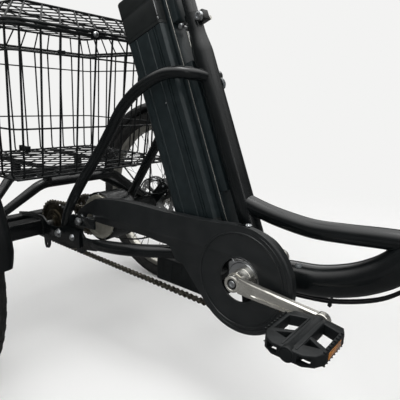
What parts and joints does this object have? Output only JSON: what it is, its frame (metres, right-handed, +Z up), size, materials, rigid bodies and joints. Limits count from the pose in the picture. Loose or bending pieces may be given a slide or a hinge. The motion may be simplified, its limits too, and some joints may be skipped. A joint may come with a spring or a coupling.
{
  "type": "electric tricycle",
  "caption": "Step-through electric tricycle: frame battery, rear hub motor driving the axle by chain, disc brakes and a lidded wire basket between the rear wheels.",
  "frame": {"origin": "on the floor, in the middle of the tricycle's length and width", "axes": "+X forward, +Y to the rider's left, +Z up"},
  "size_m": [1.8922, 0.844, 1.0772],
  "materials": {
    "anodised_battery_aluminium": "black anodised",
    "anodised_rim_aluminium": "satin anodised",
    "brake_disc_steel": "ground",
    "bronze_sprocket_steel": "bronze-coloured plating",
    "brushed_steel": "brushed",
    "cable_sheath": "smooth sheath",
    "cast_motor_aluminium": "cast, lacquered",
    "matte_guard_plastic": "matt",
    "moulded_black_plastic": "fine grain",
    "oiled_chain_steel": "dark, oiled",
    "polished_aluminium": "polished",
    "powder_coated_steel": "satin black powder coat",
    "saddle_cover": "black synthetic leather",
    "tyre_rubber": "matt moulded rubber",
    "zinc_plated_steel": "zinc plated"
  },
  "bodies": {
    "frame": {"main_frame": "powder_coated_steel", "axle_housing": "powder_coated_steel", "basket_carrier": "powder_coated_steel", "fender_left": "moulded_black_plastic", "fender_right": "moulded_black_plastic", "basket_floor": "powder_coated_steel", "basket_front": "powder_coated_steel", "basket_back": "powder_coated_steel", "basket_left": "powder_coated_steel", "basket_right": "powder_coated_steel", "battery_rail": "polished_aluminium", "chain_guard": "matte_guard_plastic", "drive_chain": "oiled_chain_steel", "motor_chain": "oiled_chain_steel", "caliper_left": "moulded_black_plastic", "caliper_right": "moulded_black_plastic", "motor_axle": "zinc_plated_steel", "seat_clamp": "zinc_plated_steel", "rear_brake_cable": "cable_sheath"},
    "steering": {"fork": "powder_coated_steel", "headlight": "moulded_black_plastic", "fender_front": "moulded_black_plastic", "stem": "powder_coated_steel", "handlebar": "powder_coated_steel", "grip_left": "tyre_rubber", "grip_right": "tyre_rubber", "display": "moulded_black_plastic", "caliper_front": "moulded_black_plastic", "cable_loop": "cable_sheath", "front_brake_cable": "cable_sheath"},
    "front_wheel": {"hub_front": "polished_aluminium", "rim_front": "anodised_rim_aluminium", "tyre_front": "tyre_rubber", "rotor_front": "brake_disc_steel"},
    "rear_axle": {"rear_axle": "zinc_plated_steel", "hub_left": "polished_aluminium", "rim_left": "anodised_rim_aluminium", "tyre_left": "tyre_rubber", "rotor_left": "brake_disc_steel"},
    "right_wheel": {"hub_right": "polished_aluminium", "rim_right": "anodised_rim_aluminium", "tyre_right": "tyre_rubber", "rotor_right": "brake_disc_steel"},
    "freewheel": {"freewheel": "bronze_sprocket_steel"},
    "crankset": {"crankset": "polished_aluminium", "chainring": "brushed_steel"},
    "pedal_left": {"pedal_left": "moulded_black_plastic"},
    "pedal_right": {"pedal_right": "moulded_black_plastic"},
    "motor": {"motor_hub": "cast_motor_aluminium"},
    "seat": {"seat_post": "polished_aluminium", "saddle_springs": "brushed_steel", "saddle": "saddle_cover"},
    "battery": {"battery": "anodised_battery_aluminium"},
    "lid": {"lid": "powder_coated_steel"},
    "lid_latch": {"lid_latch": "zinc_plated_steel"},
    "clamp_lever": {"clamp_lever": "zinc_plated_steel"},
    "throttle": {"throttle": "tyre_rubber"},
    "brake_lever_left": {"brake_lever_left": "polished_aluminium"},
    "brake_lever_right": {"brake_lever_right": "polished_aluminium"}
  },
  "joints": [
    {"name": "steering", "type": "hinge", "parent": "frame", "child": "steering", "pos_m": [0.43077, 0, 0.70537], "axis": [-0.3746, 0, 0.9272], "range_deg": [-40, 40], "deforming": ["cable_loop"]},
    {"name": "front_wheel_spin", "type": "hinge", "parent": "steering", "child": "front_wheel", "pos_m": [0.64107, 0, 0.305], "axis": [0, 1, 0], "continuous": true},
    {"name": "rear_axle_spin", "type": "hinge", "parent": "frame", "child": "rear_axle", "pos_m": [-0.62393, 0, 0.305], "axis": [0, 1, 0], "continuous": true, "deforming": ["motor_chain"]},
    {"name": "right_wheel_spin", "type": "hinge", "parent": "frame", "child": "right_wheel", "pos_m": [-0.62393, -0.375, 0.305], "axis": [0, 1, 0], "continuous": true},
    {"name": "motor_spin", "type": "hinge", "parent": "frame", "child": "motor", "pos_m": [-0.45193, 0, 0.352], "axis": [0, 1, 0], "continuous": true},
    {"name": "freewheel_spin", "type": "hinge", "parent": "frame", "child": "freewheel", "pos_m": [-0.62393, -0.06, 0.305], "axis": [0, 1, 0], "continuous": true, "deforming": ["drive_chain"]},
    {"name": "crank_spin", "type": "hinge", "parent": "frame", "child": "crankset", "pos_m": [-0.01093, 0, 0.326], "axis": [0, 1, 0], "continuous": true},
    {"name": "pedal_left_spin", "type": "hinge", "parent": "crankset", "child": "pedal_left", "pos_m": [-0.1807, 0.158, 0.3349], "axis": [0, 1, 0], "continuous": true},
    {"name": "pedal_right_spin", "type": "hinge", "parent": "crankset", "child": "pedal_right", "pos_m": [0.15884, -0.158, 0.3171], "axis": [0, 1, 0], "continuous": true},
    {"name": "seat_height", "type": "slide", "parent": "frame", "child": "seat", "axis": [-0.3843, 0, 0.9232], "range_m": [-0.02, 0.06]},
    {"name": "battery_lift", "type": "slide", "parent": "frame", "child": "battery", "axis": [-0.3843, 0, 0.9232], "range_m": [0, 0.03]},
    {"name": "lid_hinge", "type": "hinge", "parent": "frame", "child": "lid", "pos_m": [-0.90733, 0, 0.778], "axis": [0, -1, 0], "range_deg": [0, 100]},
    {"name": "latch_hinge", "type": "hinge", "parent": "lid", "child": "lid_latch", "pos_m": [-0.42093, 0.128, 0.7872], "axis": [0, -1, 0], "range_deg": [0, 120]},
    {"name": "clamp_lever_hinge", "type": "hinge", "parent": "frame", "child": "clamp_lever", "pos_m": [-0.22307, 0.0165, 0.78908], "axis": [-0.3843, 0, 0.9232], "range_deg": [0, 110]},
    {"name": "throttle_twist", "type": "hinge", "parent": "steering", "child": "throttle", "pos_m": [0.22701, -0.3007, 1.04572], "axis": [-0.9051, -0.4173, -0.0823], "range_deg": [0, 60], "stiffness_Nm_per_rad": 0.3},
    {"name": "brake_lever_left_pull", "type": "hinge", "parent": "steering", "child": "brake_lever_left", "pos_m": [0.26909, 0.31818, 1.04827], "axis": [-0.0747, 0.0344, 0.9966], "range_deg": [0, 11], "stiffness_Nm_per_rad": 1.5},
    {"name": "brake_lever_right_pull", "type": "hinge", "parent": "steering", "child": "brake_lever_right", "pos_m": [0.26909, -0.31818, 1.04827], "axis": [0.0747, 0.0344, -0.9966], "range_deg": [0, 11], "stiffness_Nm_per_rad": 1.5}
  ],
  "couplings": [
    {"joint": "crank_spin", "follows": "freewheel_spin", "ratio": 0.7},
    {"joint": "motor_spin", "follows": "rear_axle_spin", "ratio": 1.75}
  ]
}
